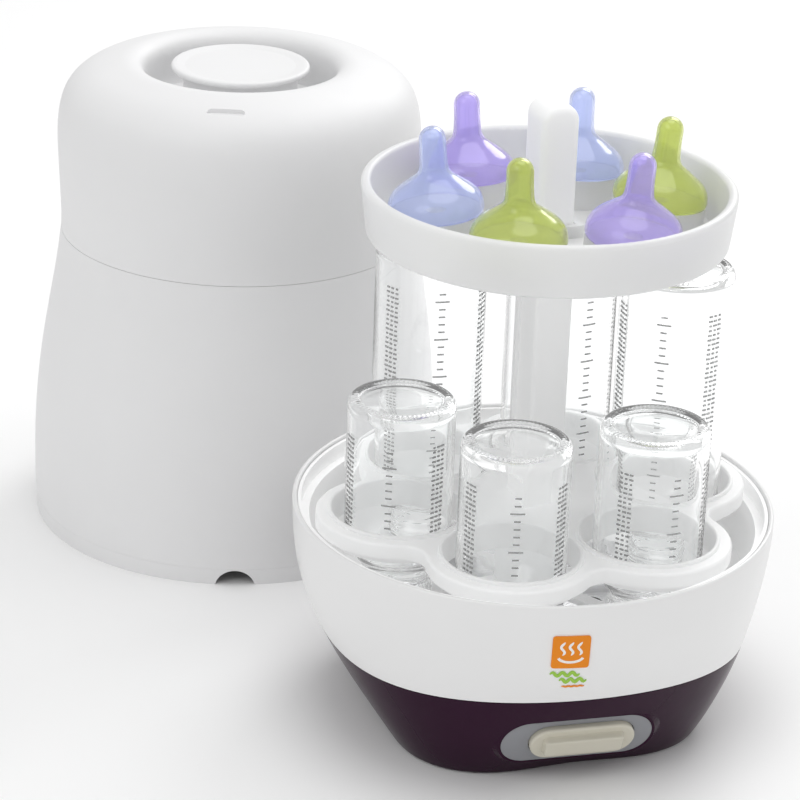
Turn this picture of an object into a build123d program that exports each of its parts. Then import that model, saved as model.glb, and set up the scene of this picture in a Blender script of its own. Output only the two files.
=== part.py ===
"""Bottle sterilizer, open, with its cover standing beside the base.

Heights are above the surface that it stands on. The switch faces -Y. Angles are in degrees from the front,
positive towards +X. The base, rack, tray, teats and bottles share the base's axis, and the cover has its own.
"""

from build123d import *
import math
import os

os.makedirs("parts", exist_ok=True)

# Base: the bowl's rim, the four-lobed foot and the seam between the white bowl and the dark shell
RIM_R = 126.6
RIM_Z = 115.0
RIM_ROUND = 1.15
CASE_WALL = 2.6
CASE_FOOT_Z = 0.6
PROFILE_SPAN = 54.0
PROFILE_SQUARE = 7.7
PROFILE_FOURTH = 0.14
LOBE_DEPTH = 8.4
LOBE_TURN = 3.0
LOBE_TOP_Z = 80.0
LOBE_POWER = 1.2
SEAM_Z = 57.0
SEAM_ARCH_R = 860.0
SEAM_GAP = 0.5
SEAM_LIP = 5.0
FIT_GAP = 0.1

# Bottom plate, feet and screws
PLATE_Z = 3.0
PLATE_T = 2.5
FOOT_R = 8.0
FOOT_PITCH_R = 80.5
POST_PITCH_R = 68.0
POST_R = 5.0
SCREW_R = 1.5
SCREW_HEAD_R = 3.4

# Cord gland in the back of the dark shell
GLAND_R = 7.0
GLAND_BORE_R = 3.4
GLAND_Z = 24.0
GLAND_LENGTH = 17.0

# Liner and heater
LEDGE_Z = 105.0
LEDGE_R = 117.5
LINER_R = 123.6
LINER_TOP_Z = 113.6
BASIN_Z = 58.0
BASIN_R = 96.0
LINER_WALL = 1.8
SEAL_R = 70.0
SEAL_T = 1.2
HOT_PLATE_R = 72.0
HOT_PLATE_T = 1.8
HEATER_R = 45.0
HEATER_TUBE_R = 4.0

# Switch panel: a flat stadium in the front of the dark shell, leaning with the wall
PANEL_Z = 25.8
PANEL_Y = -98.9
PANEL_LEAN = 20.0
PANEL_LENGTH = 80.0
PANEL_HEIGHT = 28.5
PANEL_RIM = 1.5
PANEL_FLARE = 40.0
LENS_T = 2.4
BUTTON_LENGTH = 55.5
BUTTON_HEIGHT = 21.0
BUTTON_SHIFT = 2.5
BUTTON_GAP = 0.35
BUTTON_T = 5.4
BAR_LENGTH = 43.0
BAR_HEIGHT = 12.0
BAR_RISE = 3.6

# Badge on the bowl's front
BADGE_SIDE = 19.0
BADGE_Z = 89.5
BADGE_ANGLE = -6.4
BADGE_T = 0.6

# Rack: six rings in a clover on a post that is also the lifting handle
PETALS = 6
PETAL_TURN = -24.1
PETAL_PITCH_R = 75.0
PETAL_R = 43.0
PETAL_WEB_R = 12.0
RING_R = 34.7
RING_WALL = 2.2
RACK_TOP_Z = 119.5
RACK_DECK_Z = 117.6
RACK_DECK_T = 2.4
RACK_SKIRT = 8.0
RING_DEPTH = 15.0
REST_Z = 69.0
REST_T = 3.0
REST_R = 25.0
REST_HOLE_R = 16.5
REST_SPOKE = 8.0
HUB_R = 20.0
POST_WIDTH = 20.0
POST_DEPTH = 30.0
HANDLE_DEPTH = 24.0
HANDLE_ROUND = 8.5
POST_FOOT_Z = 95.0
POST_TURN = 5.9
HANDLE_TOP_Z = 333.5
SHOULDER_Z = 262.5

# Upper tray and its teat seats
TRAY_TOP_Z = 290.5
TRAY_TOP_R = 95.5
TRAY_FOOT_R = 92.1
TRAY_WALL = 5.2
TRAY_FLOOR_T = 2.4
SEAT_PITCH_R = 58.5
SEAT_TURN = -30.6
SEAT_R = 24.0
SEAT_WALL = 2.2
SEAT_Z = 278.3
TEAT_LEAN = 5.0
TEAT_R = 24.4
TEAT_H = 44.2
TEAT_WALL = 1.4
TEAT_TIP_R = 6.8

# Bottles, mouth down
SHORT_R = 28.0
SHORT_H = 112.0
TALL_R = 29.6
TALL_H = 170.0
BOTTLE_WALL = 2.2
MOUTH_R = 19.0

# Cover
COVER_X_FROM_BASE = -107.8
COVER_Y_FROM_BASE = 269.5
COVER_R = 121.6
COVER_WALL = 2.4
COVER_SEAM_Z = 177.4
COVER_SEAM_GAP = 0.2
COVER_TOP_Z = 277.4
WELL_FLOOR_R = 50.0
WELL_FLOOR_Z = 249.0
NOTCH_R = 11.7
NOTCH_ANGLE = -10.7
KNOB_R = 40.0
KNOB_STEM_R = 33.0
KNOB_TOP_Z = 275.8
KNOB_T = 3.6
SLOT_ANGLE = -16.0
SLOT_PITCH_R = 85.0
SLOT_FLOOR_Z = 271.6
WINDOW_ANGLE = 14.0

# The origin is under the middle of the whole set's box
BASE_X = (COVER_R - COVER_X_FROM_BASE - RIM_R) / 2
BASE_Y = (RIM_R - COVER_Y_FROM_BASE - COVER_R) / 2
BASE = Pos(BASE_X, BASE_Y, 0)
COVER = Pos(BASE_X + COVER_X_FROM_BASE, BASE_Y + COVER_Y_FROM_BASE, 0)


def polar(radius, angle, z=0.0):
    """Point at this radius and this angle from the front."""
    turn = math.radians(angle)
    return Vector(radius * math.sin(turn), -radius * math.cos(turn), z)


def facing(radius, angle, z=0.0):
    """Location at that point, with its -Y axis pointing outwards."""
    return Pos(*polar(radius, angle, z)) * Rot(0, 0, angle)


def save(name, shape):
    export_step(shape, f"parts/{name}.step")


def turned(points):
    """Solid of revolution about Z of a polygon of (radius, height) points."""
    with BuildPart() as part:
        with BuildSketch(Plane.XZ):
            with BuildLine():
                Polyline(*points, close=True)
            make_face()
        revolve(axis=Axis.Z)
    return part.part


def tube(outer, inner, low, high):
    return turned([(inner, low), (outer, low), (outer, high), (inner, high)])


def disc(radius, low, high):
    return Pos(0, 0, low) * Cylinder(radius, high - low, align=(Align.CENTER, Align.CENTER, Align.MIN))


def turned_wall(points, wall, steps=10):
    """Wall of revolution between a smooth curve through the points and the same curve set inwards."""
    outer = Edge.make_spline([Vector(r, 0, z) for r, z in points])
    inset = []
    for i in range(steps + 1):
        at = outer.position_at(i / steps)
        along = outer.tangent_at(i / steps)
        inset.append(Vector(at.X - wall * along.Z, 0, at.Z + wall * along.X))
    inset[0] = Vector(inset[0].X, 0, outer.position_at(0).Z)
    inner = Edge.make_spline(inset)
    start = Edge.make_line(outer.position_at(0), inner.position_at(0))
    end = Edge.make_line(outer.position_at(1), inner.position_at(1))
    face = Face(Wire([outer, end, inner, start]))
    return revolve(face, Axis.Z)


# ---------------------------------------------------------------- base casing


def case_radius(z, angle):
    """Radius of the casing's outside: round at the rim, four-lobed at the foot."""
    drop = (RIM_Z - z) / PROFILE_SPAN
    mean = RIM_R - PROFILE_SQUARE * drop**2 - PROFILE_FOURTH * drop**4
    lobe = LOBE_DEPTH * max(0.0, 1 - z / LOBE_TOP_Z) ** LOBE_POWER
    return mean - lobe * math.cos(math.radians(4 * (angle - LOBE_TURN)))


GLAND_Y = case_radius(GLAND_Z, 180)


def case_solid(inset, low=CASE_FOOT_Z, high=RIM_Z, sections=7, points=24):
    """Solid inside the casing's outline, set inwards all round."""
    faces = []
    for i in range(sections):
        z = low + (high - low) * i / (sections - 1)
        ring = []
        for j in range(points):
            angle = 360 * j / points
            ring.append(polar(case_radius(z, angle) - inset, angle, z))
        faces.append(Face(Wire([Edge.make_spline(ring, periodic=True)])))
    return loft(faces)


def below_seam(rise):
    """Everything under the arched seam, raised or lowered."""
    arch = Rot(90, 0, 0) * Cylinder(SEAM_ARCH_R, 3 * RIM_R)
    return Pos(0, 0, SEAM_Z + rise - SEAM_ARCH_R) * arch


def panel_plane(depth=0.0):
    """The switch panel's plane, its normal pointing out of the base, at a depth behind the lens's face."""
    lean = math.radians(PANEL_LEAN)
    normal = Vector(0, -math.cos(lean), -math.sin(lean))
    origin = Vector(0, PANEL_Y, PANEL_Z) - normal * depth
    return Plane(origin=origin, x_dir=(1, 0, 0), z_dir=normal)


def stadium(length, height, back, front, shift=0.0, flare=0.0):
    """Stadium-shaped bar normal to the panel, from a depth behind the lens's face to one in front of it."""
    with BuildPart() as part:
        with BuildSketch(panel_plane(back)):
            with Locations((shift, 0)):
                SlotOverall(length, height)
        extrude(amount=back + front, taper=-flare)
    return part.part


def button_bar(back, front, gap):
    """The button's outline, grown by a gap, from behind the lens's face to in front of it."""
    return stadium(BUTTON_LENGTH + 2 * gap, BUTTON_HEIGHT + 2 * gap, back, front, BUTTON_SHIFT)


def base_casing():
    whole = case_solid(0)
    hollow = case_solid(CASE_WALL, low=CASE_FOOT_Z - 1, high=RIM_Z + 1)
    wall = whole - hollow
    bowl = wall - below_seam(0)
    lower = wall & below_seam(-SEAM_GAP)
    # The lower shell's lip stands inside the bowl and closes the seam.
    lip = case_solid(CASE_WALL + FIT_GAP, 35, 75, 5) - case_solid(CASE_WALL + FIT_GAP + 1.5, 34, 76, 5)
    root = case_solid(CASE_WALL - 0.6, 35, 75, 5) - case_solid(CASE_WALL + FIT_GAP + 1.5, 34, 76, 5)
    lower += (lip & below_seam(SEAM_LIP)) - below_seam(-2 * SEAM_LIP)
    lower += (root & below_seam(-SEAM_GAP - 1)) - below_seam(-2 * SEAM_LIP)
    # A frame blends the flat switch panel into the curved shell: proud below it and hollowed above it.
    frame_length = PANEL_LENGTH + 2 * PANEL_RIM
    frame_height = PANEL_HEIGHT + 2 * PANEL_RIM
    frame = stadium(frame_length + 14, frame_height + 14, 7, 0, flare=-45)
    lower += frame
    lower -= stadium(frame_length, frame_height, 0, 12, flare=PANEL_FLARE)
    lower -= stadium(PANEL_LENGTH, PANEL_HEIGHT, 12, 20)
    # The cord's gland sits in a round hole in the back.
    lower -= gland_hole(GLAND_R)
    lower = rounded_foot(lower)
    bowl = fillet(bowl.edges().group_by(Axis.Z)[-1], RIM_ROUND)
    return bowl, lower


def rounded_foot(shell):
    """The shell's outer bottom edge, rounded."""
    foot = shell.edges().group_by(Axis.Z)[0].sort_by(SortBy.LENGTH)[-1]
    return fillet(foot, 1.6)


def gland_hole(radius):
    return Pos(0, GLAND_Y, GLAND_Z) * Rot(90, 0, 0) * Cylinder(radius, 30)


def cord_gland():
    """Bushing with a flange outside the shell and an open bore for the cord."""
    body = Pos(0, GLAND_Y - 0.5, GLAND_Z) * Rot(90, 0, 0) * Cylinder(GLAND_R - FIT_GAP, GLAND_LENGTH)
    flange = Pos(0, GLAND_Y + 7, GLAND_Z) * Rot(90, 0, 0) * Cylinder(GLAND_R + 2, 2)
    bore = Pos(0, GLAND_Y, GLAND_Z) * Rot(90, 0, 0) * Cylinder(GLAND_BORE_R, 40)
    return body + flange - bore


def bottom_plate():
    ring = []
    for i in range(40):
        angle = 9 * i
        ring.append(polar(case_radius(PLATE_Z, angle) - CASE_WALL - 0.6, angle, PLATE_Z))
    plate = extrude(Face(Wire([Edge.make_spline(ring, periodic=True)])), PLATE_T)
    for i in range(4):
        post = Pos(*polar(POST_PITCH_R, 45 + 90 * i))
        plate -= post * disc(SCREW_R + FIT_GAP, 0, 20)
        plate -= post * disc(SCREW_HEAD_R + FIT_GAP, 0, PLATE_Z + 1.2)
    for i in range(-3, 4):
        plate -= Pos(14 * i, 0, PLATE_Z) * Box(3, 34, 12)
    return plate


def feet():
    foot = disc(FOOT_R, 0, PLATE_Z)
    foot = fillet(foot.edges().group_by(Axis.Z)[0], 0.8)
    return Compound([Pos(*polar(FOOT_PITCH_R, 45 + 90 * i)) * foot for i in range(4)])


def bottom_screws():
    screw = disc(SCREW_HEAD_R, PLATE_Z - 0.8, PLATE_Z + 1.2) + disc(SCREW_R, PLATE_Z + 1.0, PLATE_Z + 16)
    screw -= Pos(0, 0, PLATE_Z - 0.8) * Box(4, 0.9, 1.6)
    screw -= Pos(0, 0, PLATE_Z - 0.8) * Box(0.9, 4, 1.6)
    return Compound([Pos(*polar(POST_PITCH_R, 45 + 90 * i)) * screw for i in range(4)])


# ---------------------------------------------------------------- liner, heater and electrics


def bowl_liner():
    """Inner basin: lip, the ledge that the cover stands on, a sloping wall and a floor with a round window."""
    w = LINER_WALL
    outline = [
        (LINER_R, LINER_TOP_Z), (LINER_R - 0.4, LEDGE_Z - w), (LEDGE_R + w, LEDGE_Z - w),
        (LEDGE_R - 3.5, 80), (BASIN_R + 8, 62), (BASIN_R + 1, BASIN_Z - w), (SEAL_R - 7, BASIN_Z - w),
        (SEAL_R - 7, BASIN_Z), (BASIN_R - 1, BASIN_Z), (BASIN_R + 6, 63), (LEDGE_R - 3.5 - w, 80.5),
        (LEDGE_R, LEDGE_Z), (LINER_R - w, LEDGE_Z), (LINER_R - w, LINER_TOP_Z),
    ]
    liner = turned(outline)
    for i in range(4):
        post = Pos(*polar(POST_PITCH_R, 45 + 90 * i))
        liner += post * disc(POST_R, PLATE_Z + PLATE_T, BASIN_Z - w / 2)
        liner -= post * disc(SCREW_R + FIT_GAP, PLATE_Z, PLATE_Z + 20)
    return liner


def plate_seal():
    return tube(SEAL_R, SEAL_R - 5, BASIN_Z, BASIN_Z + SEAL_T)


def hot_plate():
    """Pressed steel plate with a shallow step and a turned-down edge."""
    low = BASIN_Z + SEAL_T
    top = low + HOT_PLATE_T
    outline = [
        (0, low), (58, low), (60, low), (HOT_PLATE_R, low), (HOT_PLATE_R, top - 0.6), (HOT_PLATE_R - 0.6, top),
        (62, top), (60, top - 0.5), (12, top - 0.5), (10, top), (0, top),
    ]
    return turned(outline)


def heater_ring():
    """Tubular element under the plate, open at the back, with a terminal pin on each end."""
    ring = Torus(HEATER_R, HEATER_TUBE_R)
    ring -= Pos(0, HEATER_R, 0) * Box(30, 30, 20)
    for side in (-1, 1):
        ring += Pos(side * 15, math.sqrt(HEATER_R**2 - 15**2), 0) * Rot(0, 90, 0) * Cylinder(1.6, 12)
    return Pos(0, 0, BASIN_Z + SEAL_T - HEATER_TUBE_R - 0.05) * ring


def thermostat():
    low = BASIN_Z + SEAL_T
    body = disc(9, low - 9, low - 0.1) + disc(12, low - 2.2, low - 0.1)
    tabs = Pos(0, 0, low - 12) * Box(14, 5, 7)
    return Pos(18, 0, 0) * (body + tabs)


def thermal_fuse():
    body = Rot(90, 0, 0) * Cylinder(2.4, 14)
    leads = Rot(90, 0, 0) * Cylinder(0.6, 30)
    return Pos(-20, 0, BASIN_Z + SEAL_T - 3) * (body + leads)


def plate_clamp():
    """Strap under the plate that holds the thermostat and the fuse up, with a hole round the thermostat."""
    low = BASIN_Z + SEAL_T
    strap = Pos(0, 0, low - 10.2) * Box(118, 24, 1.2)
    strap -= Pos(18, 0, low - 10) * Cylinder(9.4, 30)
    strap += Pos(55, 0, low - 5.4) * Box(8, 24, 10.6)
    strap += Pos(-55, 0, low - 5.4) * Box(8, 24, 10.6)
    strap = strap - Pos(55, 0, low - 5) * Cylinder(SCREW_R + FIT_GAP, 20)
    return strap - Pos(-55, 0, low - 5) * Cylinder(SCREW_R + FIT_GAP, 20)


def plate_studs():
    low = BASIN_Z + SEAL_T
    stud = disc(SCREW_R, low - 14, low) + disc(3, low - 14, low - 10.8 - 0.1)
    return Compound([Pos(s * 55, 0, 0) * stud for s in (-1, 1)])


def sensor_cap():
    """Small dark cap over the sensor on the plate."""
    top = BASIN_Z + SEAL_T + HOT_PLATE_T - 0.5
    cap = chamfer(disc(7, top, top + 4.5).edges().group_by(Axis.Z)[-1], 1.2)
    return Pos(*polar(38, 45)) * cap


def panel_lens():
    lens = stadium(PANEL_LENGTH - 2 * FIT_GAP, PANEL_HEIGHT - 2 * FIT_GAP, LENS_T, 0)
    return lens - button_bar(8, 8, BUTTON_GAP)


def switch_button():
    """Stadium plate with a raised bar, and a stem behind it."""
    plate = button_bar(LENS_T, BUTTON_T - LENS_T, 0)
    front = plate.faces().sort_by(lambda f: f.center().Y)[0]
    plate = fillet(front.edges(), 1.3)
    with BuildPart() as bar:
        with BuildSketch(panel_plane(-(BUTTON_T - LENS_T) + 0.5)):
            with Locations((BUTTON_SHIFT, 0)):
                RectangleRounded(BAR_LENGTH, BAR_HEIGHT, 2.5)
        extrude(amount=BAR_RISE + 0.5, taper=14)
        crest = bar.faces().sort_by(lambda f: f.center().Y)[0]
        fillet(crest.edges(), 1.1)
    with BuildPart() as stem:
        with BuildSketch(panel_plane(LENS_T + 6)):
            with Locations((BUTTON_SHIFT, 0)):
                Rectangle(8, 5)
        extrude(amount=6.5)
    return plate + bar.part + stem.part


def switch_body():
    """Switch behind the button, with room for the stem's travel."""
    with BuildPart() as body:
        with BuildSketch(panel_plane(LENS_T + 22)):
            with Locations((BUTTON_SHIFT, 0)):
                RectangleRounded(32, 18, 1.5)
        extrude(amount=17)
        with BuildSketch(panel_plane(LENS_T + 14)):
            with Locations((BUTTON_SHIFT, 0)):
                Rectangle(8.8, 5.8)
        extrude(amount=12, mode=Mode.SUBTRACT)
    return body.part


def indicator_board():
    with BuildPart() as board:
        with BuildSketch(panel_plane(LENS_T + 6.6)):
            with Locations((-31, 0)):
                RectangleRounded(11, 16, 1)
        extrude(amount=1.6)
    return board.part


def indicator_lamps():
    lamps = []
    for side in (-4, 4):
        with BuildPart() as lamp:
            with BuildSketch(panel_plane(LENS_T + 5)):
                with Locations((-31, side)):
                    Circle(1.5)
            extrude(amount=3)
        lamps.append(lamp.part)
    return Compound(lamps)


def terminal_block():
    block = Pos(0, 64, 14) * Box(34, 14, 12)
    for i in (-1, 0, 1):
        block -= Pos(10 * i, 64, 20) * Cylinder(2.2, 5)
        block -= Pos(10 * i, 64, 14) * Rot(90, 0, 0) * Cylinder(1.6, 20)
    return block


def wire(points, bend):
    path = FilletPolyline(*points, radius=bend)
    section = Plane(origin=path @ 0, z_dir=path % 0) * Circle(1.1)
    return sweep(section, path)


def inner_wires():
    """Leads from the terminal block to the switch and up to the heater."""
    leads = [
        wire([(-10, 57, 14), (-10, 46, 14), (-30, 30, 14), (-30, -40, 14), (-9, -58, 16), (-9, -68, 16)], 5),
        wire([(10, 57, 14), (10, 46, 14), (30, 30, 14), (30, -40, 14), (9, -58, 16), (9, -68, 16)], 5),
        wire([(0, 57, 14), (0, 42, 14), (0, 30, 30), (0, 22, 44)], 5),
    ]
    return Compound(leads)


def front_badge():
    """Thin square plate that follows the bowl's curve."""
    proud = case_solid(-BADGE_T)
    tool = Box(BADGE_SIDE, 40, BADGE_SIDE)
    tool = fillet(tool.edges().filter_by(Axis.Y), 1.6)
    return (facing(RIM_R, BADGE_ANGLE, BADGE_Z) * tool & proud) - case_solid(-0.03)


# ---------------------------------------------------------------- rack and its post


def petal(i):
    return PETAL_TURN + 60 * i


def clover(radius, web):
    """Outline of six overlapping petals with rounded waists."""
    with BuildSketch() as sketch:
        for i in range(PETALS):
            with Locations(polar(PETAL_PITCH_R, petal(i))):
                Circle(radius)
        Circle(PETAL_PITCH_R)
        waists = [v for v in sketch.vertices() if v.center().length > PETAL_PITCH_R + 5]
        fillet(waists, web)
    return sketch.sketch


def petal_rack():
    deck_low = RACK_DECK_Z - RACK_DECK_T
    outer = clover(PETAL_R, PETAL_WEB_R)
    inner = clover(PETAL_R - RING_WALL, PETAL_WEB_R + RING_WALL)
    rack = Pos(0, 0, deck_low) * extrude(outer, RACK_DECK_T)
    rack = fillet(rack.edges().group_by(Axis.Z)[-1], 1.6)
    skirt = extrude(outer, RACK_SKIRT) - extrude(inner, RACK_SKIRT)
    rack += Pos(0, 0, RACK_DECK_Z - RACK_SKIRT) * skirt - disc(150, RACK_DECK_Z - 1.7, RACK_DECK_Z + 3)
    ring = tube(RING_R + RING_WALL, RING_R, RACK_TOP_Z - RING_DEPTH, RACK_TOP_Z)
    ring = fillet(ring.edges().group_by(Axis.Z)[-1], 0.9)
    hole = disc(RING_R, 60, 130)
    rest = disc(REST_R, REST_Z - REST_T, REST_Z)
    for i in range(PETALS):
        place = facing(PETAL_PITCH_R, petal(i))
        rack -= place * hole
        rack += place * ring
        rack += place * rest
        spoke = Box(REST_SPOKE, PETAL_PITCH_R - REST_HOLE_R - 4, REST_T)
        rack += facing((PETAL_PITCH_R - REST_HOLE_R - 4) / 2, petal(i), REST_Z - REST_T / 2) * spoke
        rack -= place * disc(REST_HOLE_R, 60, REST_Z + 1)
    rack += disc(HUB_R, REST_Z - REST_T, RACK_DECK_Z - 0.5)
    for i in range(0, PETALS, 2):
        foot = Pos((REST_R + REST_HOLE_R) / 2, 0, 0) * disc(4, BASIN_Z, REST_Z - REST_T)
        rack += facing(PETAL_PITCH_R, petal(i)) * foot
    socket = Box(POST_WIDTH + 0.2, POST_DEPTH + 0.2, 60, align=(Align.CENTER, Align.CENTER, Align.MIN))
    rack -= Pos(0, 0, POST_FOOT_Z) * Rot(0, 0, POST_TURN) * socket
    return rack


def rack_post():
    """Hollow post with a waisted section below the tray and a rounded handle above it."""
    up = (Align.CENTER, Align.CENTER, Align.MIN)
    low = Box(POST_WIDTH, POST_DEPTH, SHOULDER_Z - POST_FOOT_Z, align=up)
    low = fillet(low.edges().filter_by(Axis.Z), 2.0)
    for side in (-1, 1):
        groove = Box(4, POST_DEPTH - 10, SHOULDER_Z - POST_FOOT_Z - 50, align=up)
        low -= Pos(side * POST_WIDTH / 2, 0, 35) * groove
    grip_low = SHOULDER_Z - POST_FOOT_Z
    grip = Box(POST_WIDTH, HANDLE_DEPTH, HANDLE_TOP_Z - SHOULDER_Z, align=up)
    grip = fillet(grip.edges().group_by(Axis.Z)[-1].filter_by(Axis.Y), HANDLE_ROUND)
    outline = [e for e in grip.edges() if abs(e.center().Y) > HANDLE_DEPTH / 2 - 0.1 and e.center().Z > 0.1]
    grip = fillet(outline, 3.5)
    post = low + Pos(0, 0, grip_low) * grip
    post -= Box(POST_WIDTH - 9, POST_DEPTH - 14, HANDLE_TOP_Z - POST_FOOT_Z - 8, align=up)
    return Pos(0, 0, POST_FOOT_Z) * Rot(0, 0, POST_TURN) * post


# ---------------------------------------------------------------- tray and teats


def seat_place(i):
    """Location of a teat seat's top, its Z axis leaning outwards."""
    return facing(SEAT_PITCH_R, SEAT_TURN + 60 * i, SEAT_Z) * Rot(TEAT_LEAN, 0, 0)


def upper_tray():
    floor_top = SHOULDER_Z + TRAY_FLOOR_T
    rim_in = TRAY_TOP_R - TRAY_WALL
    foot_in = TRAY_FOOT_R - TRAY_WALL
    wall = turned([
        (0, SHOULDER_Z), (TRAY_FOOT_R, SHOULDER_Z), (TRAY_TOP_R, TRAY_TOP_Z), (rim_in, TRAY_TOP_Z),
        (foot_in, floor_top), (0, floor_top),
    ])
    tray = fillet(wall.edges().group_by(Axis.Z)[-1], 2.2)
    tray = fillet(tray.edges().group_by(Axis.Z)[0].sort_by(SortBy.LENGTH)[-1], 2.4)
    for i in range(PETALS):
        boss = disc(SEAT_R, -17, 0)
        tray += seat_place(i) * boss
    tray += Rot(0, 0, POST_TURN) * Pos(0, 0, SHOULDER_Z + 4.5) * Box(POST_WIDTH + 7, HANDLE_DEPTH + 7, 9)
    tray -= disc(200, SHOULDER_Z - 40, SHOULDER_Z)
    for i in range(PETALS):
        tray -= seat_place(i) * (disc(SEAT_R - SEAT_WALL, -30, -SEAT_WALL) + disc(5, -30, 5))
    tray -= Rot(0, 0, POST_TURN) * Box(POST_WIDTH + 0.5, HANDLE_DEPTH + 0.5, 700)
    return tray


def teat():
    """Soft bell with a long tip, open at the bottom, standing on z = 0."""
    w = TEAT_WALL
    tip = TEAT_TIP_R
    neck_z = TEAT_H - tip
    with BuildPart() as part:
        with BuildSketch(Plane.XZ):
            with BuildLine():
                Line((TEAT_R - w, 0), (TEAT_R, 0))
                Spline((TEAT_R, 0), (23.6, 6), (20.5, 11), (14.5, 17), (8.6, 23), (7.0, 29), (tip, neck_z),
                    tangents=[(0, 1), (0, 1)])
                RadiusArc((tip, neck_z), (0, TEAT_H), -tip)
                Line((0, TEAT_H), (0, TEAT_H - w))
                RadiusArc((0, TEAT_H - w), (tip - w, neck_z), tip - w)
                Spline((tip - w, neck_z), (5.6, 28.8), (7.4, 22.3), (13.5, 16), (19.4, 10.1), (22.2, 5.6),
                    (TEAT_R - w, 0), tangents=[(0, -1), (0, -1)])
            make_face()
        revolve(axis=Axis.Z)
    return part.part


# ---------------------------------------------------------------- bottles


def bottle(radius, height):
    """Glass bottle upside down on z = 0: mouth and thread, shoulder, straight body and hollow base."""
    heel = 6.0
    neck = MOUTH_R - 0.8
    w = BOTTLE_WALL
    with BuildPart() as part:
        with BuildSketch(Plane.XZ):
            with BuildLine():
                start = Polyline(
                    (MOUTH_R - 4, 0), (MOUTH_R - 0.6, 0), (MOUTH_R, 0.6), (MOUTH_R, 2), (neck, 2.6), (neck, 5),
                    (MOUTH_R, 5.8), (MOUTH_R, 7.2), (neck, 8), (neck, 11), (MOUTH_R, 11.8), (MOUTH_R, 13.4),
                    (neck, 14.2), (neck, 17))
                out = Spline(start @ 1, (radius * 0.83, 24.5), (radius, 36), tangents=[(0, 1), (0, 1)])
                Line(out @ 1, (radius, height - heel))
                RadiusArc((radius, height - heel), (radius - heel, height), -heel)
                Polyline((radius - heel, height), (radius - heel - 2, height), (radius - heel - 5, height - 2),
                    (0, height - 2.6), (0, height - 6))
                Polyline((0, height - 6), (radius - w - heel, height - 6.2))
                RadiusArc((radius - w - heel, height - 6.2), (radius - w, height - heel - 6), heel)
                Line((radius - w, height - heel - 6), (radius - w, 37))
                inn = Spline(
                    (radius - w, 37), (radius * 0.83 - w, 26), (MOUTH_R - 4, 17), tangents=[(0, -1), (0, -1)])
                Line(inn @ 1, (MOUTH_R - 4, 0))
            make_face()
        revolve(axis=Axis.Z)
    return part.part


# ---------------------------------------------------------------- cover


def cover_lower():
    wall = turned_wall(
        [
            (120.9, 0), (COVER_R, 18), (121.4, 45), (119.4, 78), (115.0, 112), (108.8, 147), (104.3, COVER_SEAM_Z),
        ],
        COVER_WALL)
    notch = Pos(0, 0, 9 - NOTCH_R) * Rot(90, 0, 0) * Cylinder(NOTCH_R, 40)
    wall -= facing(COVER_R, NOTCH_ANGLE) * notch
    wall -= tube(COVER_R + 5, COVER_R - 0.35, 9.6, 10.2)
    return wall


def cover_upper():
    foot_z = COVER_SEAM_Z + COVER_SEAM_GAP
    side = [
        (104.2, foot_z), (104.5, 200), (105.6, 228), (104.8, 247), (99, 263), (86, 272.6),
        (73, COVER_TOP_Z - 0.8), (62, COVER_TOP_Z), (57.2, 274.4), (55, 265), (WELL_FLOOR_R + 1, WELL_FLOOR_Z + 0.6),
    ]
    wall = turned_wall(side, COVER_WALL, 24)
    floor = disc(WELL_FLOOR_R + 3.2, WELL_FLOOR_Z, WELL_FLOOR_Z + COVER_WALL)
    inner = 104.3 - COVER_WALL
    spigot = turned([
        (inner - 2, foot_z - 6), (inner - FIT_GAP, foot_z - 6), (inner - FIT_GAP, foot_z + 0.2),
        (inner + 1.2, foot_z + 0.2), (inner + 1.2, foot_z + 6), (inner - 2, foot_z + 6),
    ])
    cover = wall + floor + spigot
    for i in range(12):
        cover -= Rot(0, 0, 30 * i) * Pos(0, -43, WELL_FLOOR_Z) * Box(10, 3, 12)
    for i in range(3):
        cover -= Rot(0, 0, 120 * i) * Pos(0, 24, 0) * disc(SCREW_R + FIT_GAP, 240, 260)
    cover -= disc(7, 240, 260)
    slot = extrude(SlotOverall(21, 5.4), 6)
    cover -= facing(SLOT_PITCH_R, SLOT_ANGLE, SLOT_FLOOR_Z) * slot
    return cover


def cover_knob():
    """Shallow dished disc on a hollow stem with steam windows."""
    foot = WELL_FLOOR_Z + COVER_WALL
    under = KNOB_TOP_Z - KNOB_T
    top = turned([
        (0, under), (KNOB_R, under), (KNOB_R, KNOB_TOP_Z), (KNOB_R - 3, KNOB_TOP_Z),
        (KNOB_R - 8, KNOB_TOP_Z - 0.9), (0, KNOB_TOP_Z - 1.3),
    ])
    rim = [e for e in top.edges().filter_by(GeomType.CIRCLE) if e.radius > KNOB_R - 1]
    top = fillet(rim, 1.6)
    stem = tube(KNOB_STEM_R, KNOB_STEM_R - 2.4, foot, under + 0.5)
    for i in range(3):
        stem -= facing(KNOB_STEM_R, 120 * i + WINDOW_ANGLE, foot + 9) * Box(9, 10, 7)
    for i in range(3):
        pin = disc(4, foot, under + 0.5) - disc(SCREW_R + FIT_GAP, foot - 1, foot + 14)
        stem += Rot(0, 0, 120 * i) * Pos(0, 24, 0) * pin
    return top + stem


def knob_screws():
    low = WELL_FLOOR_Z
    screw = disc(3, low - 2, low - 0.02) + disc(SCREW_R, low - 0.5, low + 14)
    return Compound([Rot(0, 0, 120 * i) * Pos(0, 24, 0) * screw for i in range(3)])


def steam_valve():
    """Mushroom valve in the middle of the well's floor."""
    low = WELL_FLOOR_Z
    return disc(6.5, low - 3, low + 6) + disc(10, low + COVER_WALL + 0.05, low + 7)


# ---------------------------------------------------------------- all pieces


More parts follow.
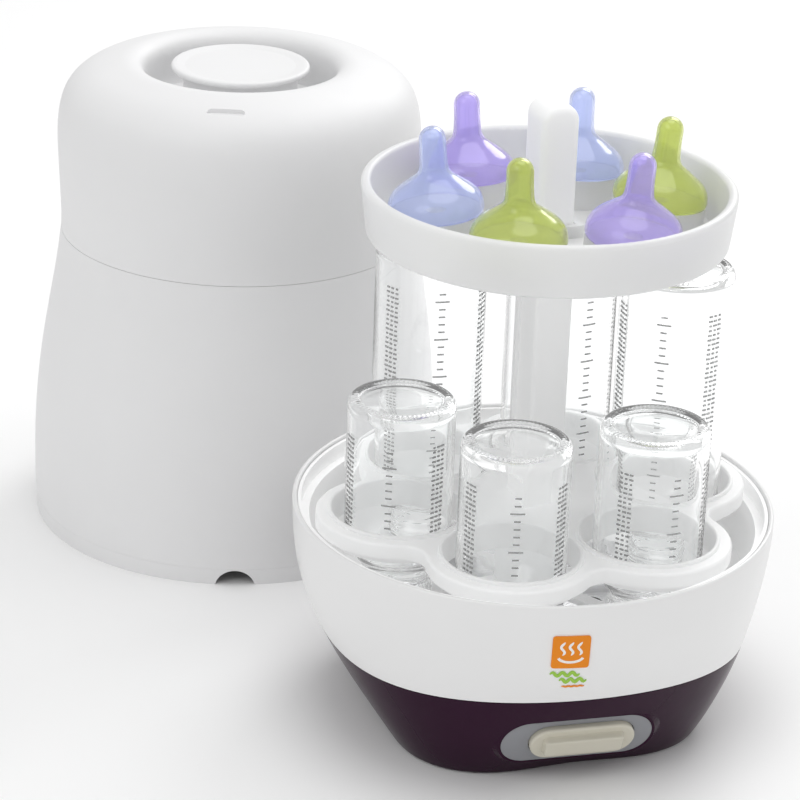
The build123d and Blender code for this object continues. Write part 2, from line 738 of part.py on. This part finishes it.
bowl, shell = base_casing()
save("bowl_outer", BASE * bowl)
save("lower_shell", BASE * shell)
save("bottom_plate", BASE * bottom_plate())
save("rubber_feet", BASE * feet())
save("bottom_screws", BASE * bottom_screws())
save("bowl_liner", BASE * bowl_liner())
save("plate_seal", BASE * plate_seal())
save("heating_plate", BASE * hot_plate())
save("heater_ring", BASE * heater_ring())
save("thermostat", BASE * thermostat())
save("thermal_fuse", BASE * thermal_fuse())
save("heater_clamp", BASE * plate_clamp())
save("clamp_studs", BASE * plate_studs())
save("sensor_cap", BASE * sensor_cap())
save("panel_lens", BASE * panel_lens())
save("switch_button", BASE * switch_button())
save("switch_body", BASE * switch_body())
save("indicator_board", BASE * indicator_board())
save("indicator_lamps", BASE * indicator_lamps())
save("terminal_block", BASE * terminal_block())
save("inner_wires", BASE * inner_wires())
save("cord_gland", BASE * cord_gland())
save("front_badge", BASE * front_badge())
save("petal_rack", BASE * petal_rack())
save("rack_post", BASE * rack_post())
save("upper_tray", BASE * upper_tray())
for i in range(PETALS):
    save(f"teat_{i + 1}", BASE * seat_place(i) * teat())
    tall = i in (2, 3, 4)
    glass = bottle(TALL_R, TALL_H) if tall else bottle(SHORT_R, SHORT_H)
    kind = "tall" if tall else "short"
    save(f"bottle_{kind}_{i + 1}", BASE * facing(PETAL_PITCH_R, petal(i), REST_Z) * glass)
save("cover_lower", COVER * cover_lower())
save("cover_upper", COVER * cover_upper())
save("cover_knob", COVER * cover_knob())
save("knob_screws", COVER * knob_screws())
save("steam_valve", COVER * steam_valve())
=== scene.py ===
import bpy
import bmesh
import math
from mathutils import Matrix, Vector


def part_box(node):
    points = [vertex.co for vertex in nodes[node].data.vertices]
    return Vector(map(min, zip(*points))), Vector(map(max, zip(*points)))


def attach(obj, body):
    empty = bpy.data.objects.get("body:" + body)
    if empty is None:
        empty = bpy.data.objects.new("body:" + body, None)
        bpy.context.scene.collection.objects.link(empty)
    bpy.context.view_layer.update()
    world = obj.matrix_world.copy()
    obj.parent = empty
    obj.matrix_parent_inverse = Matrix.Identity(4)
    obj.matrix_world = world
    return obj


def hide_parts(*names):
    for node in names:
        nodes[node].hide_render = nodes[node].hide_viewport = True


# Bottle sterilizer, open and loaded, with its cover beside it. All lengths are in metres.

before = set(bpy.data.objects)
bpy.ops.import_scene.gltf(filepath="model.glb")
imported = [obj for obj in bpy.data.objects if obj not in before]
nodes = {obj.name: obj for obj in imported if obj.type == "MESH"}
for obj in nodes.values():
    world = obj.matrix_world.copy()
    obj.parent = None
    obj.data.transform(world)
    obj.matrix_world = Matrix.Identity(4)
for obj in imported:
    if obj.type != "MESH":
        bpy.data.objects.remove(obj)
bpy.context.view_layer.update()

# Places that come from the frame
BASE_LOW, BASE_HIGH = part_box("bowl_outer")
BASE = Vector(((BASE_LOW.x + BASE_HIGH.x) / 2, (BASE_LOW.y + BASE_HIGH.y) / 2, 0))

# Bottles round the rack, and the tray's seats above them
PETALS = 6
SEAT_PITCH = 0.0585
SEAT_TURN = math.radians(-30.6)
SEAT_Z = 0.2783
TEAT_LEAN = math.radians(5)
TEAT_R = 0.0244
TEAT_H = 0.0442
TALL = (2, 3, 4)
TALL_R = 0.0296
SHORT_R = 0.028

# Camera, from the base's axis
CAMERA_FROM_BASE = Vector((-0.4189, -1.3702, 0.7801))
HEADING = math.radians(14.135)
PITCH = math.radians(23.15)
ROLL = math.radians(2.0)
LENS = 134.8
SENSOR = 36.0

# Lights: name, place, width and power; all of them face the middle of the set
MIDDLE = Vector((0, 0, 0.12))
LIGHTS = [
    ("key", Vector((-1.5, -1.2, 1.9)), 1.5, 9),
    ("fill", Vector((1.8, -0.6, 1.2)), 1.8, 2),
    ("back", Vector((1.3, 1.5, 1.5)), 1.3, 15),
    ("top", Vector((0.3, 0.1, 2.7)), 2.2, 21),
]
SKY = 0.60
FLOOR_HALF = 6.0


def polar(radius, angle, z=0.0):
    """Point at this angle from the front, about the origin."""
    return Vector((radius * math.sin(angle), -radius * math.cos(angle), z))


# ------------------------------------------------------------------ materials


def new_material(name):
    """Material with a plain principled shader."""
    material = bpy.data.materials.new(name)
    material.use_nodes = True
    tree = material.node_tree
    return material, tree, tree.nodes["Principled BSDF"]


def noise(tree, scale, detail=3.0, rough=0.5, stretch=(1, 1, 1)):
    """Noise that is fixed to the piece itself."""
    place = tree.nodes.new("ShaderNodeTexCoord")
    mapping = tree.nodes.new("ShaderNodeMapping")
    mapping.inputs["Scale"].default_value = stretch
    texture = tree.nodes.new("ShaderNodeTexNoise")
    texture.inputs["Scale"].default_value = scale
    texture.inputs["Detail"].default_value = detail
    texture.inputs["Roughness"].default_value = rough
    tree.links.new(place.outputs["Object"], mapping.inputs["Vector"])
    tree.links.new(mapping.outputs["Vector"], texture.inputs["Vector"])
    return texture.outputs["Fac"]


def tint(tree, shader, fac, dark, light):
    """Base colour from dark to light."""
    ramp = tree.nodes.new("ShaderNodeValToRGB")
    ramp.color_ramp.elements[0].position = 0.3
    ramp.color_ramp.elements[0].color = (*dark, 1)
    ramp.color_ramp.elements[1].position = 0.7
    ramp.color_ramp.elements[1].color = (*light, 1)
    tree.links.new(fac, ramp.inputs["Fac"])
    tree.links.new(ramp.outputs["Color"], shader.inputs["Base Color"])


def vary_roughness(tree, shader, fac, low, high):
    """Roughness from low to high."""
    span = tree.nodes.new("ShaderNodeMapRange")
    span.inputs["To Min"].default_value = low
    span.inputs["To Max"].default_value = high
    tree.links.new(fac, span.inputs["Value"])
    tree.links.new(span.outputs["Result"], shader.inputs["Roughness"])


def bump(tree, shader, fac, strength, distance):
    """Fine relief of this depth."""
    node = tree.nodes.new("ShaderNodeBump")
    node.inputs["Strength"].default_value = strength
    node.inputs["Distance"].default_value = distance
    tree.links.new(fac, node.inputs["Height"])
    tree.links.new(node.outputs["Normal"], shader.inputs["Normal"])


def plastic(name, colour, rough, spread=0.03, grain=900.0, grain_depth=0.00002,
        coat=0.0, soft=0.0, clear=0.0, shine=0.5, painted_glow=0.0):
    """Moulded plastic: faint mottling, fine grain, and optional coat, softness, clarity or a white glow of
    painted light.
    """
    material, tree, shader = new_material(name)
    mottle = noise(tree, 14.0, 4.0)
    dark = tuple(c * (1 - spread) for c in colour)
    light = tuple(min(1.0, c * (1 + spread)) for c in colour)
    tint(tree, shader, mottle, dark, light)
    vary_roughness(tree, shader, noise(tree, 60.0, 4.0), rough * 0.85, rough * 1.15)
    bump(tree, shader, noise(tree, grain, 2.0), 0.25, grain_depth)
    shader.inputs["Coat Weight"].default_value = coat
    shader.inputs["Coat Roughness"].default_value = 0.05
    shader.inputs["Specular IOR Level"].default_value = shine
    # White emission is painted light: it brightens the piece as if light came through it.
    shader.inputs["Emission Color"].default_value = (1.0, 1.0, 1.0, 1.0)
    shader.inputs["Emission Strength"].default_value = painted_glow
    if soft:
        shader.inputs["Subsurface Weight"].default_value = soft
        shader.inputs["Subsurface Radius"].default_value = (1.0, 1.0, 1.0)
        shader.inputs["Subsurface Scale"].default_value = 0.015
    if clear:
        shader.inputs["Transmission Weight"].default_value = clear
        shader.inputs["IOR"].default_value = 1.42
    return material


def metal(name, colour, rough, stretch=(1, 1, 1), scale=120.0):
    """Metal with brushed or cast grain."""
    material, tree, shader = new_material(name)
    shader.inputs["Metallic"].default_value = 1.0
    brushed = noise(tree, scale, 5.0, 0.6, stretch)
    tint(tree, shader, brushed, tuple(c * 0.82 for c in colour), colour)
    vary_roughness(tree, shader, brushed, rough * 0.7, rough * 1.4)
    bump(tree, shader, brushed, 0.3, 0.00006)
    return material


def glass(name, rough, milk, painted_glow, shade=1.0):
    """Clear pressed glass with the slight waves of a moulded wall, and a faint white glow of painted light.
    """
    material, tree, shader = new_material(name)
    dark = (0.975 * shade, 0.985 * shade, 0.985 * shade)
    tint(tree, shader, noise(tree, 20.0, 2.0), dark, (shade, shade, shade))
    vary_roughness(tree, shader, noise(tree, 90.0, 2.0), rough * 0.4, rough * 1.6)
    bump(tree, shader, noise(tree, 45.0, 1.0, 0.3, (1, 1, 0.35)), 0.2, 0.0014)
    shader.inputs["Transmission Weight"].default_value = 1.0 - milk
    shader.inputs["IOR"].default_value = 1.45
    # White emission is painted light that brightens the glass.
    shader.inputs["Emission Color"].default_value = (1.0, 1.0, 1.0, 1.0)
    shader.inputs["Emission Strength"].default_value = painted_glow
    return material


def silicone(name, colour):
    """Tinted see-through silicone, with a faint glow in its own colour that is painted light."""
    material, tree, shader = new_material(name)
    tint(tree, shader, noise(tree, 40.0, 2.0), tuple(c * 0.95 for c in colour), colour)
    vary_roughness(tree, shader, noise(tree, 120.0, 3.0), 0.06, 0.16)
    bump(tree, shader, noise(tree, 60.0, 1.0), 0.1, 0.0006)
    shader.inputs["Transmission Weight"].default_value = 0.8
    shader.inputs["IOR"].default_value = 1.32
    shader.inputs["Coat Weight"].default_value = 0.5
    shader.inputs["Coat Roughness"].default_value = 0.04
    # Emission in the silicone's colour is painted light that brightens the teat.
    shader.inputs["Emission Color"].default_value = (*(c * c for c in colour), 1.0)
    shader.inputs["Emission Strength"].default_value = 0.06
    return material


MATERIAL = {
    "bowl": plastic("bowl_white", (0.86, 0.86, 0.86), 0.32, 0.01, coat=0.2),
    # The liner's white emission is painted light that brightens the inside of the bowl.
    "liner": plastic("liner_white_painted_light", (0.90, 0.90, 0.90), 0.42, 0.012, painted_glow=0.16),
    "cover": plastic("cover_white", (0.83, 0.83, 0.835), 0.5, 0.012, grain=1400.0, grain_depth=0.00004),
    "shell": plastic("shell_aubergine", (0.024, 0.0040, 0.0185), 0.22, 0.1, shine=0.12),
    "milky": plastic("milky_plastic", (0.86, 0.865, 0.865), 0.34, 0.01, soft=0.6, clear=0.08),
    # Same milky plastic as the tray; its lighter colour and white emission are painted light.
    "rack": plastic("milky_rack_painted_light", (0.91, 0.915, 0.915), 0.34, 0.01, soft=0.6, clear=0.08, painted_glow=0.12),
    "lens": plastic("lens_grey", (0.28, 0.285, 0.305), 0.3, 0.05, coat=0.2, soft=0.2, shine=0.3),
    "cream": plastic("button_cream", (0.64, 0.61, 0.51), 0.22, 0.02, coat=0.5),
    "orange": plastic("badge_orange", (0.82, 0.25, 0.008), 0.35, 0.04, coat=0.1, shine=0.2),
    "white_print": plastic("badge_white", (0.90, 0.90, 0.88), 0.4, 0.01),
    "green_print": plastic("badge_green", (0.30, 0.56, 0.05), 0.4, 0.04),
    "dark": plastic("dark_plastic", (0.012, 0.012, 0.012), 0.35, 0.1),
    "rubber": plastic("grey_rubber", (0.05, 0.05, 0.052), 0.75, 0.12, 500.0, 0.00008),
    "seal": plastic("seal_rubber", (0.55, 0.55, 0.54), 0.6, 0.05),
    "board": plastic("board_green", (0.02, 0.12, 0.05), 0.4, 0.1),
    "lamp": plastic("lamp_red", (0.5, 0.03, 0.02), 0.15, 0.05, soft=0.3),
    "wire": plastic("wire_sleeve", (0.5, 0.5, 0.48), 0.5, 0.08),
    "steel": metal("brushed_steel", (0.86, 0.86, 0.87), 0.22, (1, 12, 1), 60.0),
    "aluminium": metal("aluminium", (0.62, 0.62, 0.62), 0.4),
    # The clear glass carries a faint white emission of painted light.
    "glass": glass("clear_glass", 0.006, 0.0, 0.028),
    "frost": glass("raised_glass_marks", 0.25, 0.4, 0.0, 0.55),
    # The teat silicones glow faintly in their own colours: painted light.
    "green": silicone("teat_green", (0.77, 0.83, 0.37)),
    "purple": silicone("teat_purple", (0.74, 0.67, 0.99)),
    "blue": silicone("teat_blue", (0.76, 0.81, 1.0)),
}

CAD_FINISH = {
    "bowl": ["bowl_outer"],
    "liner": ["bowl_liner"],
    "cover": ["cover_lower", "cover_upper", "cover_knob"],
    "shell": ["lower_shell", "bottom_plate"],
    "milky": ["upper_tray", "steam_valve"],
    "rack": ["petal_rack", "rack_post"],
    "lens": ["panel_lens"],
    "cream": ["switch_button", "terminal_block"],
    "orange": ["front_badge"],
    "dark": ["sensor_cap", "thermostat", "thermal_fuse", "switch_body"],
    "rubber": ["rubber_feet", "cord_gland"],
    "seal": ["plate_seal"],
    "board": ["indicator_board"],
    "lamp": ["indicator_lamps"],
    "wire": ["inner_wires"],
    "steel": ["heating_plate", "bottom_screws", "clamp_studs", "knob_screws"],
    "aluminium": ["heater_ring", "heater_clamp"],
}


def finish(piece, material):
    """Gives a piece one material, in place of what it had."""
    piece.data.materials.clear()
    piece.data.materials.append(MATERIAL[material])


for look, names in CAD_FINISH.items():
    for name in names:
        finish(nodes[name], look)

# ------------------------------------------------------------------ mesh helpers


def between(p, q, r, s, t):
    """Value at t between q and r, on the curve through p, q, r and s."""
    return 0.5 * (2 * q + (r - p) * t + (2 * p - 5 * q + 4 * r - s) * t**2 + (3 * q - p - 3 * r + s) * t**3)


def smooth(points, steps=6):
    """Points along a curve that passes through the given ones."""
    ends = [points[0]] + list(points) + [points[-1]]
    curve = []
    for a, b, c, d in zip(ends, ends[1:], ends[2:], ends[3:]):
        for k in range(steps):
            curve.append(tuple(between(p, q, r, s, k / steps) for p, q, r, s in zip(a, b, c, d)))
    curve.append(tuple(points[-1]))
    return curve


def arc(centre, radius, start, end, steps=8):
    """Points on a circle in the (radius, height) plane, angles in degrees from straight out."""
    points = []
    for k in range(steps + 1):
        turn = math.radians(start + (end - start) * k / steps)
        points.append((centre[0] + radius * math.cos(turn), centre[1] + radius * math.sin(turn)))
    return points


def new_piece(name, mesh):
    """Object made from a finished bmesh, which is freed."""
    data = bpy.data.meshes.new(name)
    mesh.to_mesh(data)
    mesh.free()
    piece = bpy.data.objects.new(name, data)
    bpy.context.scene.collection.objects.link(piece)
    return piece


def turned(name, outline, segments, place, ripple=None):
    """Closed mesh turned from an outline of (radius, height); a point at radius 0 is one vertex."""
    mesh = bmesh.new()
    rings = []
    for r, z in outline:
        if r < 1e-6:
            rings.append([mesh.verts.new(place @ Vector((0, 0, z)))])
            continue
        ring = []
        for k in range(segments):
            turn = math.tau * k / segments
            rise = ripple(r, z, turn) if ripple else 0.0
            point = Vector((r * math.cos(turn), r * math.sin(turn), z + rise))
            ring.append(mesh.verts.new(place @ point))
        rings.append(ring)
    for a, b in zip(rings, rings[1:] + rings[:1]):
        if len(a) == 1 and len(b) == 1:
            continue
        for k in range(segments):
            n = (k + 1) % segments
            corners = [a[k % len(a)], a[n % len(a)], b[n % len(b)], b[k % len(b)]]
            unique = list(dict.fromkeys(corners))
            mesh.faces.new(unique)
    bmesh.ops.recalc_face_normals(mesh, faces=mesh.faces)
    for face in mesh.faces:
        face.smooth = True
    return new_piece(name, mesh)


def stand_for(piece, body, material, slot, *cad):
    """Gives a piece its look and body, and hides the CAD nodes it stands for; the slot argument is not
    used.
    """
    finish(piece, material)
    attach(piece, body)
    if cad:
        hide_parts(*cad)


# ------------------------------------------------------------------ teats

TEAT_WALL = 0.0014
TEAT_TIP_R = 0.0068


def teat_outline():
    """Bell, waist and rounded tip, then back down the inside."""
    neck = TEAT_H - TEAT_TIP_R
    w = TEAT_WALL
    bell = [(TEAT_R, 0.0016), (0.0237, 0.006), (0.0207, 0.0105), (0.0142, 0.0155), (0.0083, 0.0205),
        (0.0070, 0.0275), (TEAT_TIP_R, neck)]
    outside = [(TEAT_R - 0.0004, 0.0)] + smooth(bell, 5)
    outside += arc((0, neck), TEAT_TIP_R, 0, 90, 9)[1:-1] + [(0, TEAT_H)]
    bore = [(0, TEAT_H - w)] + arc((0, neck), TEAT_TIP_R - w, 90, 0, 7)[1:]
    cup = [(TEAT_TIP_R - w, neck), (0.0056, 0.0274), (0.0067, 0.0200), (0.0130, 0.0146),
        (0.0194, 0.0098), (0.0222, 0.0056), (TEAT_R - w, 0.0)]
    return outside + bore + smooth(cup, 4)[1:]


TEAT_COLOUR = ["green", "purple", "green", "blue", "purple", "blue"]
for i in range(PETALS):
    angle = SEAT_TURN + i * math.tau / PETALS
    seat = Matrix.Translation(BASE + polar(SEAT_PITCH, angle, SEAT_Z))
    seat = seat @ Matrix.Rotation(angle, 4, "Z") @ Matrix.Rotation(TEAT_LEAN, 4, "X")
    piece = turned(f"silicone_teat_{i + 1}", teat_outline(), 64, seat)
    colour = TEAT_COLOUR[i]
    stand_for(piece, f"teat_body_{i + 1}", colour, f"teat_{colour}", f"teat_{i + 1}")

# ------------------------------------------------------------------ bottles

GLASS_WALL = 0.0022
MOUTH_R = 0.019
MOUTH_T = 0.0037
NECK_R = 0.0182
THREADS = (0.0062, 0.0126)
THREAD_R = 0.0009
THREAD_REACH = 0.0019
SHOULDER_Z = 0.036
HEEL = 0.0042
FLOOR_T = 0.0036
KNURLS = 64
KNURL_DEPTH = 0.0003
SIDE_STEPS = 8
SCALE_STEP = 0.0042
BAND_STEP = 0.0026
BAND_TURN = 0.95
COLUMN_TURN = 0.10
MARK_PROUD = 0.00035
MARK_SUNK = 0.0003


def bottle_outline(radius, height):
    """Mouth down: thread beads, neck, shoulder, body, heel and hollow base, then the inside."""
    w = GLASS_WALL
    outside = [(MOUTH_R - 0.0035, 0.0), (MOUTH_R - 0.0006, 0.0), (MOUTH_R, 0.0006), (MOUTH_R, 0.002)]
    outside.append((NECK_R, 0.0027))
    for bead in THREADS:
        outside.append((NECK_R, bead - THREAD_REACH))
        outside += arc((NECK_R, bead), THREAD_R, -90, 90, 4)
        outside.append((NECK_R, bead + THREAD_REACH))
    outside += smooth([(NECK_R, 0.0165), (NECK_R + 0.0010, 0.0195), (radius * 0.83, 0.0255),
        (radius - 0.0010, 0.0315), (radius, SHOULDER_Z)], 5)
    for k in range(1, SIDE_STEPS):
        outside.append((radius, SHOULDER_Z + (height - HEEL - SHOULDER_Z) * k / SIDE_STEPS))
    outside += arc((radius - HEEL, height - HEEL), HEEL, 0, 90, 9)
    stand = radius - HEEL - 0.0008
    outside += [(stand - 0.0002, height), (stand - 0.0008, height - 0.0003),
        (stand - 0.0016, height - 0.0010), (stand - 0.0028, height - 0.0013),
        (radius * 0.4, height - 0.0016), (0, height - 0.0012)]
    floor = height - FLOOR_T
    inside = [(0, floor)] + arc((radius - w - HEEL, floor - HEEL), HEEL, 90, 0, 8)
    low = SHOULDER_Z + 0.001
    for k in range(1, SIDE_STEPS):
        inside.append((radius - w, floor - HEEL - (floor - HEEL - low) * k / SIDE_STEPS))
    inside += smooth([(radius - w, low), (radius - w - 0.0012, 0.0325), (radius * 0.83 - w, 0.0268),
        (NECK_R - w - 0.0002, 0.0205), (MOUTH_R - MOUTH_T, 0.0165)], 5)
    inside.append((MOUTH_R - MOUTH_T, 0.001))
    return outside + inside


def knurl(radius, height):
    """Small dips round the ring that the bottle stands on."""
    def rise(r, z, turn):
        on_stand = z > height - 0.0012 and radius - HEEL - 0.0016 < r < radius - HEEL + 0.0016
        return -KNURL_DEPTH * (0.5 + 0.5 * math.cos(KNURLS * turn)) if on_stand else 0.0
    return rise


def add_mark(mesh, centre, radius, turn, z, width, tall):
    """Small raised bar that follows the glass."""
    corners = []
    half = width / radius / 2
    for side in (-MARK_SUNK, MARK_PROUD):
        for dz in (-tall / 2, tall / 2):
            for k in range(4):
                a = turn - half + 2 * half * k / 3
                corners.append(mesh.verts.new(centre + polar(radius + side, a, z + dz)))
    for k in range(3):
        for a, b in ((0, 4), (4, 12), (12, 8), (8, 0)):
            mesh.faces.new([corners[a + k], corners[a + k + 1], corners[b + k + 1], corners[b + k]])
    for k in (0, 3):
        mesh.faces.new([corners[k], corners[4 + k], corners[12 + k], corners[8 + k]])


def marks(name, centre, radius, low, high, facing):
    """A measuring scale up the front and a plain dashed band on each side."""
    mesh = bmesh.new()
    for k in range(int((high - low) / SCALE_STEP)):
        width = 0.0075 if k % 5 == 0 else 0.0034
        add_mark(mesh, centre, radius, facing, low + SCALE_STEP * k, width, 0.0007)
    for side in (-BAND_TURN, BAND_TURN):
        for column in range(3):
            turn = facing + side + (column - 1) * COLUMN_TURN
            for k in range(int((high - low) / BAND_STEP)):
                width = 0.0012 + 0.0011 * ((k * 7 + column * 3) % 4) / 3
                add_mark(mesh, centre, radius, turn, low + BAND_STEP * k, width, 0.0009)
    bmesh.ops.recalc_face_normals(mesh, faces=mesh.faces)
    return new_piece(name, mesh)


BOTTLE_TURN = [math.radians(t) for t in (-12, 8, -30, 15, -2, -25)]
for i in range(PETALS):
    kind = "tall" if i in TALL else "short"
    node = f"bottle_{kind}_{i + 1}"
    low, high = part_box(node)
    centre = Vector(((low.x + high.x) / 2, (low.y + high.y) / 2, low.z))
    radius = TALL_R if kind == "tall" else SHORT_R
    height = high.z - low.z
    outline = bottle_outline(radius, height)
    piece = turned(f"glass_bottle_{i + 1}", outline, 224, Matrix.Translation(centre), knurl(radius, height))
    stand_for(piece, f"bottle_body_{i + 1}", "glass", "clear_glass", node)
    scale = marks(f"bottle_marks_{i + 1}", centre, radius, 0.042, height - 0.014, BOTTLE_TURN[i])
    stand_for(scale, f"bottle_body_{i + 1}", "frost", "clear_glass")

# ------------------------------------------------------------------ print on the bowl

BADGE_TURN = math.radians(-6.4)
BADGE_Z = 0.0895
BOWL_TOP_Z = 0.115
BOWL_R = 0.1266
LOBE_DEPTH = 0.0084
LOBE_TURN = math.radians(3)
PRINT_R = 0.124


def bowl_radius(z, angle):
    """Radius of the bowl's outside at this height and angle."""
    drop = (BOWL_TOP_Z - z) / 0.054
    lobe = LOBE_DEPTH * max(0.0, 1 - z / 0.080) ** 1.2
    return BOWL_R - 0.0077 * drop**2 - 0.00014 * drop**4 - lobe * math.cos(4 * (angle - LOBE_TURN))


def printed(name, lines, low, high, material, slot):
    """Raised lines on the bowl: each is a list of (across, height, half width) points, in metres."""
    mesh = bmesh.new()
    for line in lines:
        rows = []
        for k, (s, z, half) in enumerate(line):
            before = line[max(0, k - 1)]
            after = line[min(len(line) - 1, k + 1)]
            along = Vector((after[0] - before[0], after[1] - before[1])).normalized()
            row = []
            for depth in (low, high):
                for side in (-half, half):
                    across = s - side * along.y
                    up = z + side * along.x
                    angle = BADGE_TURN + across / PRINT_R
                    row.append(mesh.verts.new(BASE + polar(bowl_radius(up, angle) + depth, angle, up)))
            rows.append(row)
        for a, b in zip(rows, rows[1:]):
            for m, n in ((0, 1), (1, 3), (3, 2), (2, 0)):
                mesh.faces.new([a[m], a[n], b[n], b[m]])
        for row in (rows[0], rows[-1]):
            mesh.faces.new([row[0], row[1], row[3], row[2]])
    bmesh.ops.recalc_face_normals(mesh, faces=mesh.faces)
    stand_for(new_piece(name, mesh), "base", material, slot)


def ripple_line(start, end, z, swing, waves, half, steps=24):
    """Level wavy line."""
    points = []
    for k in range(steps + 1):
        t = k / steps
        ends = min(1.0, 6 * t + 0.3, 6 * (1 - t) + 0.3)
        points.append((start + (end - start) * t, z + swing * math.sin(math.tau * waves * t), half * ends))
    return points


def steam_line(s, low, high, half, steps=18):
    """Upright wavy line."""
    points = []
    for k in range(steps + 1):
        t = k / steps
        ends = min(1.0, 5 * t + 0.3, 5 * (1 - t) + 0.3)
        points.append((s + 0.0009 * math.sin(math.tau * 1.2 * t), low + (high - low) * t, half * ends))
    return points


steam = [steam_line(s, BADGE_Z - 0.0015, BADGE_Z + 0.0062, 0.00062) for s in (-0.0042, 0.0, 0.0042)]
bowl_arc = [(0.0062 * math.sin(t), BADGE_Z - 0.0025 - 0.0032 * math.cos(t), 0.0007)
    for t in (k * 0.15 - 1.35 for k in range(19))]
printed("badge_motif", steam + [bowl_arc], 0.0003, 0.0008, "white_print", "white_gloss")
waves = [ripple_line(-0.0095, 0.0055, 0.0760, 0.0012, 3.0, 0.0009),
    ripple_line(-0.0045, 0.0095, 0.0718, 0.0012, 3.0, 0.0009)]
printed("badge_waves", waves, -0.0004, 0.0004, "green_print", "board_green")
dash = [ripple_line(-0.0030, 0.0090, 0.0678, 0.0002, 4.0, 0.0005)]
printed("badge_dash", dash, -0.0004, 0.0004, "orange", "badge_orange")

# ------------------------------------------------------------------ stage, light and camera


def stage():
    """Plain pale floor."""
    data = bpy.data.meshes.new("floor")
    half = FLOOR_HALF
    corners = [(-half, -half, 0), (half, -half, 0), (half, half, 0), (-half, half, 0)]
    data.from_pydata(corners, [], [(0, 1, 2, 3)])
    floor = bpy.data.objects.new("floor", data)
    bpy.context.scene.collection.objects.link(floor)
    material, tree, shader = new_material("floor_white")
    tint(tree, shader, noise(tree, 2.0, 2.0), (0.94, 0.94, 0.94), (0.96, 0.96, 0.96))
    shader.inputs["Roughness"].default_value = 0.9
    shader.inputs["Specular IOR Level"].default_value = 0.1
    data.materials.append(material)


def area_light(name, place, target, size, power):
    """Round soft light that faces its target."""
    light = bpy.data.lights.new(name, "AREA")
    light.shape = "DISK"
    light.size = size
    light.energy = power
    lamp = bpy.data.objects.new(name, light)
    lamp.location = place
    lamp.rotation_euler = (target - place).to_track_quat("-Z", "Y").to_euler()
    bpy.context.scene.collection.objects.link(lamp)


def camera():
    """Camera, placed from the base's axis."""
    data = bpy.data.cameras.new("camera")
    data.lens = LENS
    data.sensor_width = SENSOR
    data.clip_end = 50.0
    ahead = Vector((math.sin(HEADING), math.cos(HEADING), 0))
    level = Vector((math.cos(HEADING), -math.sin(HEADING), 0))
    forward = math.cos(PITCH) * ahead - math.sin(PITCH) * Vector((0, 0, 1))
    upright = level.cross(forward)
    right = math.cos(ROLL) * level + math.sin(ROLL) * upright
    up = math.cos(ROLL) * upright - math.sin(ROLL) * level
    turn = Matrix((right, up, -forward)).transposed()
    shot = bpy.data.objects.new("camera", data)
    shot.matrix_world = Matrix.Translation(BASE + CAMERA_FROM_BASE) @ turn.to_4x4()
    bpy.context.scene.collection.objects.link(shot)
    bpy.context.scene.camera = shot


def lighting():
    """Even white surroundings and the soft lights."""
    world = bpy.data.worlds.new("studio")
    world.use_nodes = True
    sky = world.node_tree.nodes["Background"]
    sky.inputs["Color"].default_value = (1, 1, 1, 1)
    sky.inputs["Strength"].default_value = SKY
    bpy.context.scene.world = world
    for name, place, size, power in LIGHTS:
        area_light(name, place, MIDDLE, size, power)
    bpy.context.scene.view_settings.view_transform = "Standard"


stage()
lighting()
camera()
